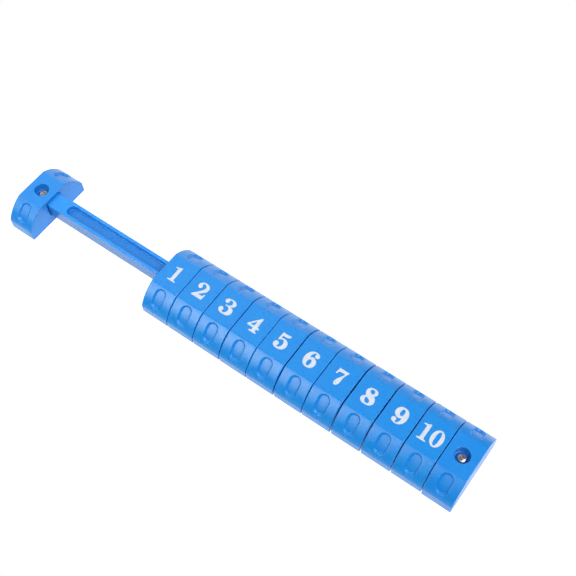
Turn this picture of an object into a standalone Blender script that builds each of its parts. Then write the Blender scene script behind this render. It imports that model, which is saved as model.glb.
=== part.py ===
"""Slide-type score counter: ten numbered tiles that slide on a square rod
held between two screw-down end brackets.

Metres, +Z up.  +X runs along the rod from the start bracket to the end
bracket, the origin is on the resting surface under the middle of the unit.
"""
import bpy
import bmesh
from math import atan2, cos, degrees, hypot, pi, radians, sin
from mathutils import Matrix, Vector

# ------------------------------------------------------------ dimensions (mm)
MM = 0.001
TOTAL_L = 235.0        # over both brackets
BRACKET_L = 13.35      # each bracket along the rod
TILES = 10
TILE_L = 13.815        # each tile along the rod
# The row is pushed up against the end bracket by hand, so the gaps are uneven:
# after tile 1, after tile 2, and so on to the last one, before the bracket.
GAPS = (0.31, 0.34, 0.41, 0.28, 0.55, 0.37, 0.66, 0.60, 0.45, 0.38)

HALF_W = 17.25         # half width over the side walls
HALF_T = 8.05          # half width of the flat top
HEIGHT = 14.60         # flat top above the resting surface
SIDE_H = 5.55          # top of the short upright side wall
FLANK_SAG = 1.15       # bulge of the curved flank over its chord
TILE_LIFT = 1.15       # tiles hang this far above the resting surface

ROD_W = 8.2            # square rod
ROD_TOP = 12.94
ROD_BOTTOM = ROD_TOP - ROD_W + 0.0
ROD_EDGE = 0.6         # rounding of its long edges
CHANNEL_W = 5.0        # sunk channel in the rod's top
CHANNEL_D = 2.4
CHANNEL_INSET = 9.4    # from bracket face to the channel's end
CLEAR = 0.30           # running clearance of a tile round the rod
SEAT = 1.9             # full-section rod inside a bracket's face
TONGUE_T = 4.0         # height of the rod's end tongue
TONGUE_END = 2.5       # tongue stops this far inside the outer face
TONGUE_HOLE_D = 3.1    # the retaining screw's thread bites in here

SCREW_X = BRACKET_L / 2
SCREW_HOLE_D = 3.3     # clearance hole through the boss
RECESS_D = 6.6         # round recess that hides the screw's head
RECESS_DEPTH = 3.9
BOSS_D = 9.2
SCREW_HEAD_D = 4.4
SCREW_HEAD_H = 1.5
SCREW_SHANK_D = 2.5
SCREW_LENGTH = 5.6     # under the head, tip included
SCREW_SEAT = 0.1       # head's underside above the recess's floor
BOSS_BOTTOM = ROD_BOTTOM + TONGUE_T + CLEAR

WALL_END = 2.0         # end walls of tiles and brackets
WALL_TOP = 1.8
WALL_FLANK = 2.2
WALL_SIDE = 1.8
RIB_T = 1.4            # ribs beside the rod

POCKET_W = 5.3         # finger pockets in the flanks
POCKET_L = 9.9
POCKET_DEPTH = 0.9
POCKET_S = 5.9         # arc length from flat top's edge to pocket centre

NUM_H = 7.85           # numeral height
NUM_T = 0.15           # thickness of the stamped numeral
NUM_LIFT = 0.03        # its underside above the tile

INNER = TOTAL_L / 2 - BRACKET_L          # x of a bracket's inner face
ROD_MID = ROD_TOP - ROD_W / 2
WINDOW = ROD_W / 2 + CLEAR

# ------------------------------------------------------------ scene and materials
for obj in list(bpy.data.objects):
    bpy.data.objects.remove(obj, do_unlink=True)
for mesh in list(bpy.data.meshes):
    bpy.data.meshes.remove(mesh)

parts = bpy.data.collections.new("slide_score_counter")
tools = bpy.data.collections.new("cutters")
bpy.context.scene.collection.children.link(parts)
bpy.context.scene.collection.children.link(tools)


def plastic(name, colour, roughness):
    mat = bpy.data.materials.new(name)
    mat.use_nodes = True
    bsdf = mat.node_tree.nodes["Principled BSDF"]
    bsdf.inputs["Base Color"].default_value = (*colour, 1.0)
    bsdf.inputs["Roughness"].default_value = roughness
    bsdf.inputs["Metallic"].default_value = 0.0
    return mat


TILE_BLUE = plastic("tile_blue_plastic", (0.028, 0.270, 0.840), 0.26)
BRACKET_BLUE = plastic("bracket_blue_plastic", (0.026, 0.255, 0.820), 0.28)
ROD_BLUE = plastic("rod_blue_plastic", (0.030, 0.275, 0.800), 0.24)
NUMERAL_WHITE = plastic("numeral_white_ink", (0.900, 0.910, 0.930), 0.40)
SCREW_STEEL = plastic("screw_zinc_plated_steel", (0.560, 0.550, 0.560), 0.30)
SCREW_STEEL.node_tree.nodes["Principled BSDF"].inputs["Metallic"].default_value = 1.0

# ------------------------------------------------------------ helpers


def add(name, mesh, where, mat=None, location=(0, 0, 0)):
    obj = bpy.data.objects.new(name, mesh)
    obj.location = Vector(location) * MM
    where.objects.link(obj)
    if mat is not None and not mesh.materials:
        mesh.materials.append(mat)
    if where is tools:
        obj.hide_render = True
        obj.display_type = "WIRE"
    return obj


def finish(bm, name):
    bmesh.ops.recalc_face_normals(bm, faces=bm.faces[:])
    bmesh.ops.scale(bm, vec=(MM, MM, MM), verts=bm.verts[:])
    mesh = bpy.data.meshes.new(name)
    bm.to_mesh(mesh)
    bm.free()
    return mesh


def prism(name, outline, depth, frame):
    """Outline (u, v) pushed along w by depth; frame maps (u, v, w) to x, y, z."""
    bm = bmesh.new()
    face = bm.faces.new([bm.verts.new(frame @ Vector((u, v, 0))) for u, v in outline])
    grown = bmesh.ops.extrude_face_region(bm, geom=[face])
    new = [g for g in grown["geom"] if isinstance(g, bmesh.types.BMVert)]
    push = (frame.to_3x3() @ Vector((0, 0, 1))) * depth
    bmesh.ops.translate(bm, vec=push, verts=new)
    return finish(bm, name)


def along_x(x0):
    """Frame with u = y, v = z and w = x, starting at x0."""
    return Matrix(((0, 0, 1, x0), (1, 0, 0, 0), (0, 1, 0, 0), (0, 0, 0, 1)))


def box(name, xs, ys, zs):
    bm = bmesh.new()
    size = Vector((xs[1] - xs[0], ys[1] - ys[0], zs[1] - zs[0]))
    mid = Vector((sum(xs) / 2, sum(ys) / 2, sum(zs) / 2))
    bmesh.ops.create_cube(bm, size=1.0, matrix=Matrix.Translation(mid)
                          @ Matrix.Diagonal((*size, 1)))
    return finish(bm, name)


def cylinder(name, x, diameter, z0, z1, segments=32):
    bm = bmesh.new()
    bmesh.ops.create_cone(bm, cap_ends=True, segments=segments,
                          radius1=diameter / 2, radius2=diameter / 2, depth=z1 - z0,
                          matrix=Matrix.Translation((x, 0, (z0 + z1) / 2)))
    return finish(bm, name)


def mirrored(mesh, name, axis):
    """A copy of the mesh reflected in the plane through the origin."""
    copy = mesh.copy()
    copy.name = name
    bm = bmesh.new()
    bm.from_mesh(copy)
    scale = [1, 1, 1]
    scale[axis] = -1
    bmesh.ops.scale(bm, vec=scale, verts=bm.verts[:])
    bmesh.ops.reverse_faces(bm, faces=bm.faces[:])
    bm.to_mesh(copy)
    bm.free()
    return copy


def combine(name, mesh, steps):
    """Boolean the mesh with (operation, mesh) steps and give the result."""
    obj = add(name + "_blank", mesh, tools)
    for i, (operation, other) in enumerate(steps):
        tool = add("%s_tool_%02d" % (name, i), other, tools)
        mod = obj.modifiers.new("step_%02d" % i, "BOOLEAN")
        mod.operation = operation
        mod.solver = "EXACT"
        mod.object = tool
    bpy.context.view_layer.update()
    depsgraph = bpy.context.evaluated_depsgraph_get()
    result = bpy.data.meshes.new_from_object(obj.evaluated_get(depsgraph))
    result.name = name
    bm = bmesh.new()
    bm.from_mesh(result)
    bmesh.ops.remove_doubles(bm, verts=bm.verts[:], dist=2e-6)
    bm.to_mesh(result)
    bm.free()
    result.materials.clear()
    return result


def arc(cy, cz, r, a0, a1, steps):
    return [(cy + r * cos(a0 + (a1 - a0) * i / steps),
             cz + r * sin(a0 + (a1 - a0) * i / steps)) for i in range(steps + 1)]


# ------------------------------------------------------------ the shared section
# The flank is one arc from the flat top's edge to the top of the side wall.
chord = hypot(HALF_W - HALF_T, HEIGHT - SIDE_H)
FLANK_R = (chord ** 2 / 4 + FLANK_SAG ** 2) / (2 * FLANK_SAG)
ny, nz = (HEIGHT - SIDE_H) / chord, (HALF_W - HALF_T) / chord
FLANK_CY = (HALF_W + HALF_T) / 2 - ny * (FLANK_R - FLANK_SAG)
FLANK_CZ = (HEIGHT + SIDE_H) / 2 - nz * (FLANK_R - FLANK_SAG)
A_TOP = atan2(HEIGHT - FLANK_CZ, HALF_T - FLANK_CY)
A_SIDE = atan2(SIDE_H - FLANK_CZ, HALF_W - FLANK_CY)


def outer_section(z_bottom, steps=8):
    right = arc(FLANK_CY, FLANK_CZ, FLANK_R, A_TOP, A_SIDE, steps)
    right.append((HALF_W, z_bottom))
    return right + [(-y, z) for y, z in reversed(right)]


def inner_section(y_in, z_bottom, steps=6):
    """Right-hand hollow between the rib at y_in and the flank wall."""
    r = FLANK_R - WALL_FLANK
    top = HEIGHT - WALL_TOP
    a0 = atan2(top - FLANK_CZ, (r ** 2 - (top - FLANK_CZ) ** 2) ** 0.5)
    y_side = HALF_W - WALL_SIDE
    a1 = atan2((r ** 2 - (y_side - FLANK_CY) ** 2) ** 0.5, y_side - FLANK_CY)
    return ([(y_in, z_bottom), (y_in, top)] + arc(FLANK_CY, FLANK_CZ, r, a0, a1, steps)
            + [(y_side, z_bottom)])


def pocket_tool(x_mid):
    """Stadium-shaped finger pocket whose floor follows the flank's curve."""
    angle = A_TOP - POCKET_S / FLANK_R
    out = Vector((0, cos(angle), sin(angle)))
    down = Vector((0, sin(angle), -cos(angle)))
    side = down.cross(out)
    centre = Vector((x_mid, FLANK_CY, FLANK_CZ)) + out * (FLANK_R - 4)
    frame = Matrix((
        (side.x, down.x, out.x, centre.x), (side.y, down.y, out.y, centre.y),
        (side.z, down.z, out.z, centre.z), (0, 0, 0, 1)))
    r = POCKET_W / 2
    half = POCKET_L / 2 - r
    outline = ([(r * cos(pi * i / 8), half + r * sin(pi * i / 8)) for i in range(9)]
               + [(-r * cos(pi * i / 8), -half - r * sin(pi * i / 8)) for i in range(9)])
    stadium = prism("pocket_stadium", outline, 8.0, frame)
    spread = radians(9)
    band = (arc(FLANK_CY, FLANK_CZ, FLANK_R - POCKET_DEPTH, A_TOP + spread, A_SIDE - spread, 10)
            + arc(FLANK_CY, FLANK_CZ, FLANK_R + 3, A_SIDE - spread, A_TOP + spread, 4))
    band = prism("pocket_band", band, 3 * BRACKET_L, along_x(x_mid - 1.5 * BRACKET_L))
    return combine("pocket", stadium, [("INTERSECT", band)])


# ------------------------------------------------------------ rod
def rod_section():
    half, r = ROD_W / 2, ROD_EDGE
    out = []
    for sy, sz, a in ((1, 1, 0), (-1, 1, 90), (-1, -1, 180), (1, -1, 270)):
        out += arc(sy * (half - r), ROD_MID + sz * (half - r), r, radians(a),
                   radians(a + 90), 3)
    return out


def stadium_flat(half_length, width, z0, z1, name, steps=12):
    r = width / 2
    h = half_length - r
    outline = ([(h + r * sin(pi * i / steps), r * cos(pi * i / steps)) for i in range(steps + 1)]
               + [(-h - r * sin(pi * i / steps), -r * cos(pi * i / steps)) for i in range(steps + 1)])
    return prism(name, outline, z1 - z0, Matrix.Translation((0, 0, z0)))


rod_half = TOTAL_L / 2 - TONGUE_END
cut_z = (ROD_BOTTOM + TONGUE_T, ROD_TOP + 3)
rod_steps = [
    ("DIFFERENCE", box("rod_end_left", (-rod_half - 5, -INNER - SEAT), (-9, 9), cut_z)),
    ("DIFFERENCE", box("rod_end_right", (INNER + SEAT, rod_half + 5), (-9, 9), cut_z)),
    ("DIFFERENCE", stadium_flat(INNER - CHANNEL_INSET, CHANNEL_W,
                                ROD_TOP - CHANNEL_D, ROD_TOP + 2, "rod_channel")),
    ("DIFFERENCE", cylinder("rod_hole_left", -INNER - SCREW_X, TONGUE_HOLE_D, 0, 20, 24)),
    ("DIFFERENCE", cylinder("rod_hole_right", INNER + SCREW_X, TONGUE_HOLE_D, 0, 20, 24)),
]
rod_blank = prism("rod_bar", rod_section(), 2 * rod_half, along_x(-rod_half))
rod = add("rod", combine("rod", rod_blank, rod_steps), parts, ROD_BLUE)

# ------------------------------------------------------------ brackets
# Built with the inner face at x = 0 and the outer face at x = BRACKET_L.
hollow_x = (WALL_END, BRACKET_L - WALL_END)
hollow = prism("bracket_hollow", inner_section(WINDOW + RIB_T, -2), hollow_x[1] - hollow_x[0],
               along_x(hollow_x[0]))
pocket = pocket_tool(SCREW_X)
bracket_steps = [
    ("DIFFERENCE", hollow),
    ("DIFFERENCE", mirrored(hollow, "bracket_hollow_left", 1)),
    ("DIFFERENCE", box("bracket_middle", hollow_x, (-WINDOW, WINDOW), (-2, HEIGHT - WALL_TOP))),
    ("DIFFERENCE", box("bracket_window", (-2, WALL_END + 0.01), (-WINDOW, WINDOW),
                       (ROD_BOTTOM - CLEAR, ROD_TOP + CLEAR))),
    ("UNION", cylinder("bracket_boss", SCREW_X, BOSS_D, BOSS_BOTTOM, HEIGHT - 0.4, 32)),
    ("DIFFERENCE", cylinder("bracket_screw", SCREW_X, SCREW_HOLE_D, -2, 20, 24)),
    ("DIFFERENCE", cylinder("bracket_recess", SCREW_X, RECESS_D, HEIGHT - RECESS_DEPTH, 20, 32)),
    ("DIFFERENCE", pocket),
    ("DIFFERENCE", mirrored(pocket, "bracket_pocket_left", 1)),
]
bracket_blank = prism("bracket_blank", outer_section(0), BRACKET_L, along_x(0))
bracket_mesh = combine("bracket", bracket_blank, bracket_steps)
bracket_end = add("bracket_end", bracket_mesh, parts, BRACKET_BLUE, (INNER, 0, 0))
bracket_start = add("bracket_start", mirrored(bracket_mesh, "bracket_start", 0), parts,
                    BRACKET_BLUE, (-INNER, 0, 0))

# ------------------------------------------------------------ retaining screws
# A small pan-head screw in each bracket holds the rod's tongue.  The profile is
# (radius, height over the head's underside) and runs from the top down.


def screw_mesh(name):
    r, h, shank = SCREW_HEAD_D / 2, SCREW_HEAD_H, SCREW_SHANK_D / 2
    profile = [(0, h), (r * 0.45, h - 0.05), (r * 0.75, h - 0.25), (r * 0.95, h - 0.65),
               (r, h - 1.05), (r, 0), (shank, 0), (shank, -SCREW_LENGTH + 1.6),
               (0, -SCREW_LENGTH)]
    curve_mesh = bpy.data.meshes.new(name + "_profile")
    curve_mesh.from_pydata([(x * MM, 0, z * MM) for x, z in profile],
                           [(i, i + 1) for i in range(len(profile) - 1)], [])
    guide = bpy.data.objects.new(name + "_turning", curve_mesh)
    tools.objects.link(guide)
    turn = guide.modifiers.new("turn", "SCREW")
    turn.steps = turn.render_steps = 20
    turn.use_merge_vertices = True
    turn.merge_threshold = 0.000005
    turn.use_smooth_shade = True
    bpy.context.view_layer.update()
    mesh = bpy.data.meshes.new_from_object(
        guide.evaluated_get(bpy.context.evaluated_depsgraph_get()))
    bpy.data.objects.remove(guide, do_unlink=True)
    bm = bmesh.new()
    bm.from_mesh(mesh)
    bmesh.ops.remove_doubles(bm, verts=bm.verts[:], dist=2e-6)
    bmesh.ops.recalc_face_normals(bm, faces=bm.faces[:])
    bm.to_mesh(mesh)
    bm.free()
    mesh.name = name
    mesh.materials.clear()
    return mesh


screw = screw_mesh("retaining_screw")
screw_z = HEIGHT - RECESS_DEPTH + SCREW_SEAT
add("screw_end", screw, parts, SCREW_STEEL, (INNER + SCREW_X, 0, screw_z))
add("screw_start", screw, parts, SCREW_STEEL, (-INNER - SCREW_X, 0, screw_z))

# ------------------------------------------------------------ tiles
# Built round the rod's axis: x = 0 at mid length, z = 0 at the rod's centre line.
half_l = TILE_L / 2
hollow_x = (-half_l + WALL_END, half_l - WALL_END)
hollow = prism("tile_hollow", inner_section(WINDOW + RIB_T, -2), hollow_x[1] - hollow_x[0],
               along_x(hollow_x[0]))
pocket = pocket_tool(0)
tile_steps = [
    ("DIFFERENCE", hollow),
    ("DIFFERENCE", mirrored(hollow, "tile_hollow_left", 1)),
    ("DIFFERENCE", box("tile_window", (-20, 20), (-WINDOW, WINDOW),
                       (ROD_BOTTOM - CLEAR, ROD_TOP + CLEAR))),
    ("DIFFERENCE", box("tile_middle", hollow_x, (-WINDOW, WINDOW), (-2, ROD_MID))),
    ("DIFFERENCE", pocket),
    ("DIFFERENCE", mirrored(pocket, "tile_pocket_left", 1)),
]
tile_blank = prism("tile_blank", outer_section(TILE_LIFT), TILE_L, along_x(-half_l))
tile_mesh = combine("tile", tile_blank, tile_steps)
tile_mesh.transform(Matrix.Translation((0, 0, -ROD_MID * MM)))

tile_x = {}
tiles = {}
for k in range(1, TILES + 1):
    tile_x[k] = INNER - half_l - sum(GAPS[k - 1:]) - (TILES - k) * TILE_L
    tiles[k] = add("tile_%d" % k, tile_mesh, parts, TILE_BLUE, (tile_x[k], 0, ROD_MID))

# ------------------------------------------------------------ numerals
# Outlines of a heavy slab-serif figure, height 100, centred on x = 0.
# A point ending in True is a smooth one, any other is a corner.
S = True
SIX_OUT = [(-39, 48, S), (-34, 73, S), (-20, 92, S), (2, 100, S), (20, 97, S), (32, 88, S),
           (33, 77, S), (25, 69, S), (14, 70, S), (7, 78, S), (8, 89, S), (2, 93), (-7, 82, S),
           (-11, 68, S), (-10, 59), (4, 66, S), (20, 62, S), (33, 50, S), (37, 33, S),
           (31, 13, S), (16, 2, S), (0, 0, S), (-20, 5, S), (-34, 22, S)]
SIX_IN = [(0, 49, S), (9, 41, S), (10, 27, S), (6, 14, S), (-1, 11, S), (-8, 16, S),
          (-11, 30, S), (-8, 43, S)]
FIGURES = {
    "1": [[(-25, 0), (25, 0), (27, 4, S), (25, 8), (15, 10, S), (11, 15), (11, 100), (3, 100),
           (-8, 94, S), (-27, 91), (-29, 87, S), (-27, 83), (-11, 84), (-11, 15), (-15, 10, S),
           (-25, 8), (-27, 4, S)]],
    "2": [[(-38, 0), (32, 0), (35, 37), (28, 37), (24, 26, S), (16, 22), (-3, 23), (12, 38, S),
           (27, 52, S), (32, 70, S), (27, 87, S), (12, 97, S), (-6, 100, S), (-24, 95, S),
           (-36, 82, S), (-37, 68, S), (-30, 57, S), (-19, 56, S), (-11, 64, S), (-12, 75, S),
           (-19, 83), (-12, 89, S), (-2, 89, S), (8, 80, S), (9, 68, S), (3, 55, S),
           (-10, 38, S), (-38, 8)]],
    "3": [[(-38, 78, S), (-33, 91, S), (-18, 98, S), (2, 100, S), (21, 95, S), (31, 84, S),
           (31, 72, S), (24, 62, S), (14, 57), (30, 50, S), (38, 33, S), (35, 15, S),
           (20, 3, S), (0, 0, S), (-20, 1, S), (-36, 9, S), (-42, 22, S), (-37, 34, S),
           (-26, 37, S), (-16, 31, S), (-15, 20, S), (-17, 13), (-8, 10, S), (4, 16, S),
           (10, 30, S), (7, 43, S), (-4, 50, S), (-19, 51), (-21, 54, S), (-19, 58), (-3, 60, S),
           (7, 67, S), (9, 78, S), (5, 88, S), (-6, 92, S), (-15, 89), (-12, 79, S),
           (-17, 70, S), (-28, 67, S)]],
    "4": [[(15, 99), (23, 98), (24, 39), (35, 38), (38, 33, S), (35, 27), (24, 27), (24, 13),
           (34, 10), (36, 5, S), (34, 1), (-10, 1), (-13, 5, S), (-10, 10), (2, 13), (2, 27),
           (-36, 27), (-40, 34)],
          [(1, 68), (1, 40), (-21, 40)]],
    "5": [[(-26, 99), (-2, 97), (25, 100), (27, 96), (22, 86, S), (12, 80), (-4, 79), (-16, 80),
           (-17, 65), (0, 69, S), (19, 65, S), (32, 52, S), (36, 36, S), (31, 17, S),
           (17, 4, S), (-3, 0, S), (-24, 3, S), (-37, 15, S), (-37, 29, S), (-28, 38, S),
           (-17, 38, S), (-9, 30, S), (-10, 20, S), (-14, 15), (-5, 11, S), (5, 18, S),
           (10, 32, S), (9, 45, S), (2, 56, S), (-9, 58, S), (-20, 50), (-29, 49)]],
    "6": [SIX_OUT, SIX_IN],
    "7": [[(-34, 60), (-26, 60), (-22, 74, S), (-14, 79), (14, 79), (10, 70, S), (-2, 50, S),
           (-12, 30, S), (-14, 12, S), (-8, 2, S), (3, 2, S), (11, 11, S), (16, 32, S),
           (16, 52, S), (20, 70, S), (32, 98), (10, 97), (-15, 98), (-29, 99)]],
    "8": [[(0, 100, S), (17, 97, S), (28, 86, S), (28, 71, S), (19, 61), (31, 50, S),
           (37, 34, S), (33, 15, S), (19, 3, S), (-1, 0, S), (-22, 3, S), (-36, 14, S),
           (-38, 29, S), (-22, 47), (-31, 60, S), (-33, 76, S), (-26, 91, S), (-13, 98, S)],
          [(-1, 91, S), (8, 86, S), (11, 76, S), (5, 66), (-8, 72, S), (-14, 81, S), (-10, 89, S)],
          [(-11, 39), (3, 33, S), (11, 24, S), (11, 15, S), (3, 10, S), (-7, 14, S),
           (-15, 24, S), (-16, 33, S)]],
    "9": [[(-p[0], 100 - p[1]) + tuple(p[2:]) for p in SIX_OUT],
          [(-p[0], 100 - p[1]) + tuple(p[2:]) for p in SIX_IN]],
    "0": [[(0, 100, S), (22, 88, S), (33, 62, S), (33, 38, S), (22, 12, S), (0, 0, S),
           (-22, 12, S), (-33, 38, S), (-33, 62, S), (-22, 88, S)],
          [(0, 90, S), (9, 78, S), (11, 50, S), (9, 22, S), (0, 10, S), (-9, 22, S),
           (-11, 50, S), (-9, 78, S)]],
}


def numeral(name, figure, tile, x_units=0.0):
    """Stamp one figure out of a flat sheet and lay it on the tile's top."""
    unit = NUM_H / 100 * MM
    curve = bpy.data.curves.new(name + "_outline", "CURVE")
    curve.dimensions = "2D"
    curve.fill_mode = "BOTH"
    curve.resolution_u = 2
    curve.extrude = NUM_T * MM / 2
    for outline in FIGURES[figure]:
        spline = curve.splines.new("BEZIER")
        spline.bezier_points.add(len(outline) - 1)
        spline.use_cyclic_u = True
        for point, spec in zip(spline.bezier_points, outline):
            point.co = ((spec[0] + x_units) * unit, (spec[1] - 50) * unit, 0)
            kind = "AUTO" if len(spec) == 3 else "VECTOR"
            point.handle_left_type = point.handle_right_type = kind
    guide = bpy.data.objects.new(name + "_guide", curve)
    tools.objects.link(guide)
    bpy.context.view_layer.update()
    mesh = bpy.data.meshes.new_from_object(
        guide.evaluated_get(bpy.context.evaluated_depsgraph_get()))
    bpy.data.objects.remove(guide, do_unlink=True)
    bm = bmesh.new()
    bm.from_mesh(mesh)
    bmesh.ops.remove_doubles(bm, verts=bm.verts[:], dist=2e-6)
    bmesh.ops.recalc_face_normals(bm, faces=bm.faces[:])
    bm.to_mesh(mesh)
    bm.free()
    mesh.materials.clear()
    obj = add(name, mesh, parts, NUMERAL_WHITE)
    obj.parent = tiles[tile]
    obj.location = Vector((0, 0, HEIGHT - ROD_MID + NUM_LIFT + NUM_T / 2)) * MM
    return obj


for k in range(1, TILES):
    numeral("numeral_%d" % k, str(k), k)
numeral("numeral_10_one", "1", 10, -35.5)
numeral("numeral_10_zero", "0", 10, 31.5)
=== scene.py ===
"""Slide-type score counter: the visible surfaces, studio and camera."""

from math import asin, atan2, cos, hypot, pi, radians, sin

import bmesh
import bpy
from mathutils import Matrix, Vector


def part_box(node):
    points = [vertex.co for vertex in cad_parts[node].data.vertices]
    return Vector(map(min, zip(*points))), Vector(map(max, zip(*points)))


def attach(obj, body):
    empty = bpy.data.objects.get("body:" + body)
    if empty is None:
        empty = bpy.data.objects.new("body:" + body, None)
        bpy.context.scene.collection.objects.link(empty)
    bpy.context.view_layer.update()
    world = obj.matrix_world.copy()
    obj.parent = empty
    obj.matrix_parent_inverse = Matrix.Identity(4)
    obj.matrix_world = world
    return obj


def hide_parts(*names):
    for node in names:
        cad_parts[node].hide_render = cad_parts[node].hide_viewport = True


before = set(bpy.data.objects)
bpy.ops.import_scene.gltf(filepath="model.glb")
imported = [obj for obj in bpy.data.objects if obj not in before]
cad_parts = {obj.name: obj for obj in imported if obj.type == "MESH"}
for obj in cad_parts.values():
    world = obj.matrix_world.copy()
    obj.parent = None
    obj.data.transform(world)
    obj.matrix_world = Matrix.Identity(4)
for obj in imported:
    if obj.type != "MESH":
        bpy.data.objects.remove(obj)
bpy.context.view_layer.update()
MM = 0.001

# ------------------------------------------------------------ sizes, in mm, from the CAD frame


def mm_box(node):
    low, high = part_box(node)
    return low / MM, high / MM


end_low, end_high = mm_box("bracket_end")
start_low, start_high = mm_box("bracket_start")
rod_low, rod_high = mm_box("rod")
tile_low, tile_high = mm_box("tile_10")
INNER = end_low.x                      # inner face of the end bracket
BRACKET_L = end_high.x - end_low.x
HALF_W = end_high.y
HEIGHT = end_high.z
TILE_L = tile_high.x - tile_low.x
TILE_LIFT = tile_low.z
ROD_W = rod_high.y - rod_low.y
ROD_TOP = rod_high.z
ROD_BOTTOM = rod_low.z
ROD_MID = (ROD_TOP + ROD_BOTTOM) / 2

HALF_T = 8.05
SIDE_H = 5.55
FLANK_SAG = 1.15
CLEAR = 0.30
SEAT = 1.9
TONGUE_T = 4.0
TONGUE_HOLE_D = 3.1
CHANNEL_W = 5.0
CHANNEL_D = 2.4
CHANNEL_INSET = 9.4
SCREW_X = BRACKET_L / 2
SCREW_HOLE_D = 3.3
RECESS_D = 6.6
RECESS_DEPTH = 3.9
BOSS_D = 9.2
SCREW_HEAD_D = 4.4
SCREW_HEAD_H = 1.5
SCREW_SHANK_D = 2.5
SCREW_LENGTH = 5.6
BOSS_BOTTOM = ROD_BOTTOM + TONGUE_T + CLEAR
WALL_END = 2.0
WALL_TOP = 1.8
WALL_FLANK = 2.2
WALL_SIDE = 1.8
RIB_T = 1.4
WINDOW = ROD_W / 2 + CLEAR
POCKET_W = 5.1
POCKET_L = 9.6
POCKET_DEPTH = 0.95
POCKET_S = 5.95
NUM_H = 7.85

# rounding of the moulded edges
CREASE_R = 2.0
CORNER_R = 1.4
FOOT_R = 0.28
END_R = 0.30

# ------------------------------------------------------------ the shared section
chord = hypot(HALF_W - HALF_T, HEIGHT - SIDE_H)
FLANK_R = (chord ** 2 / 4 + FLANK_SAG ** 2) / (2 * FLANK_SAG)
ny, nz = (HEIGHT - SIDE_H) / chord, (HALF_W - HALF_T) / chord
CY = (HALF_W + HALF_T) / 2 - ny * (FLANK_R - FLANK_SAG)
CZ = (HEIGHT + SIDE_H) / 2 - nz * (FLANK_R - FLANK_SAG)
A_TOP = atan2(HEIGHT - CZ, HALF_T - CY)
A_SIDE = atan2(SIDE_H - CZ, HALF_W - CY)

# fillet circles tangent to the flank and to the flat top, and to the upright side
top_cz = HEIGHT - CREASE_R
top_cy = CY + ((FLANK_R - CREASE_R) ** 2 - (top_cz - CZ) ** 2) ** 0.5
A_CREASE = atan2(top_cz - CZ, top_cy - CY)
side_cy = HALF_W - CORNER_R
side_cz = CZ + ((FLANK_R - CORNER_R) ** 2 - (side_cy - CY) ** 2) ** 0.5
A_CORNER = atan2(side_cz - CZ, side_cy - CY)
S0 = (A_TOP - A_CREASE) * FLANK_R        # where the flank proper starts and ends,
S1 = (A_TOP - A_CORNER) * FLANK_R        # as arc lengths from the crease


def on_flank(s, depth=0.0):
    a = A_TOP - s / FLANK_R
    r = FLANK_R - depth
    return (CY + r * cos(a), CZ + r * sin(a), cos(a), sin(a))


def right_half(z_bottom, s_stations):
    """(y, z, ny, nz) from the middle of the top round to the middle of the bottom."""
    out = [(top_cy * f, HEIGHT, 0.0, 1.0) for f in (0, 0.35, 0.7, 0.93)]
    for i in range(5):
        a = pi / 2 + (A_CREASE - pi / 2) * i / 5
        out.append((top_cy + CREASE_R * cos(a), top_cz + CREASE_R * sin(a), cos(a), sin(a)))
    first = len(out)
    out += [on_flank(s) for s in s_stations]
    last = len(out) - 1
    for i in range(1, 5):
        a = A_CORNER * (1 - i / 4)
        out.append((side_cy + CORNER_R * cos(a), side_cz + CORNER_R * sin(a), cos(a), sin(a)))
    low = z_bottom + FOOT_R
    out += [(HALF_W, side_cz + (low - side_cz) * f, 1.0, 0.0) for f in (0.12, 0.5, 0.9)]
    for i in range(6):
        a = -pi / 2 * i / 5
        out.append((HALF_W - FOOT_R + FOOT_R * cos(a), low + FOOT_R * sin(a), cos(a), sin(a)))
    out += [((HALF_W - FOOT_R) * f, z_bottom, 0.0, -1.0) for f in (0.93, 0.5, 0)]
    return out, first, last


def stadium_ring(n_cap, n_side):
    """Outline of the finger pocket as (x, s, nx, ns), starting at its upper left,
    with n_cap stations over each cap and n_side down each side, corners shared."""
    r = POCKET_W / 2
    half = POCKET_L / 2 - r

    def cap(theta, sign):
        return (r * cos(theta), POCKET_S + sign * (half + r * abs(sin(theta))),
                cos(theta), sign * abs(sin(theta)))

    top = [cap(radians(135 - 90 * i / (n_cap - 1)), -1) for i in range(n_cap)]
    side = []
    quarter = r * pi / 4
    total = 2 * quarter + 2 * half
    for i in range(1, n_side - 1):
        d = total * i / (n_side - 1)
        if d < quarter:
            side.append(cap(pi / 4 - d / r, -1))
        elif d < quarter + 2 * half:
            side.append((r, POCKET_S - half + d - quarter, 1.0, 0.0))
        else:
            side.append(cap((d - quarter - 2 * half) / r, 1))
    bottom = [cap(radians(45 + 90 * i / (n_cap - 1)), 1) for i in range(n_cap)]
    left = [(-x, s, -nx, ns) for x, s, nx, ns in reversed(side)]
    return top + side + bottom + left


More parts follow.
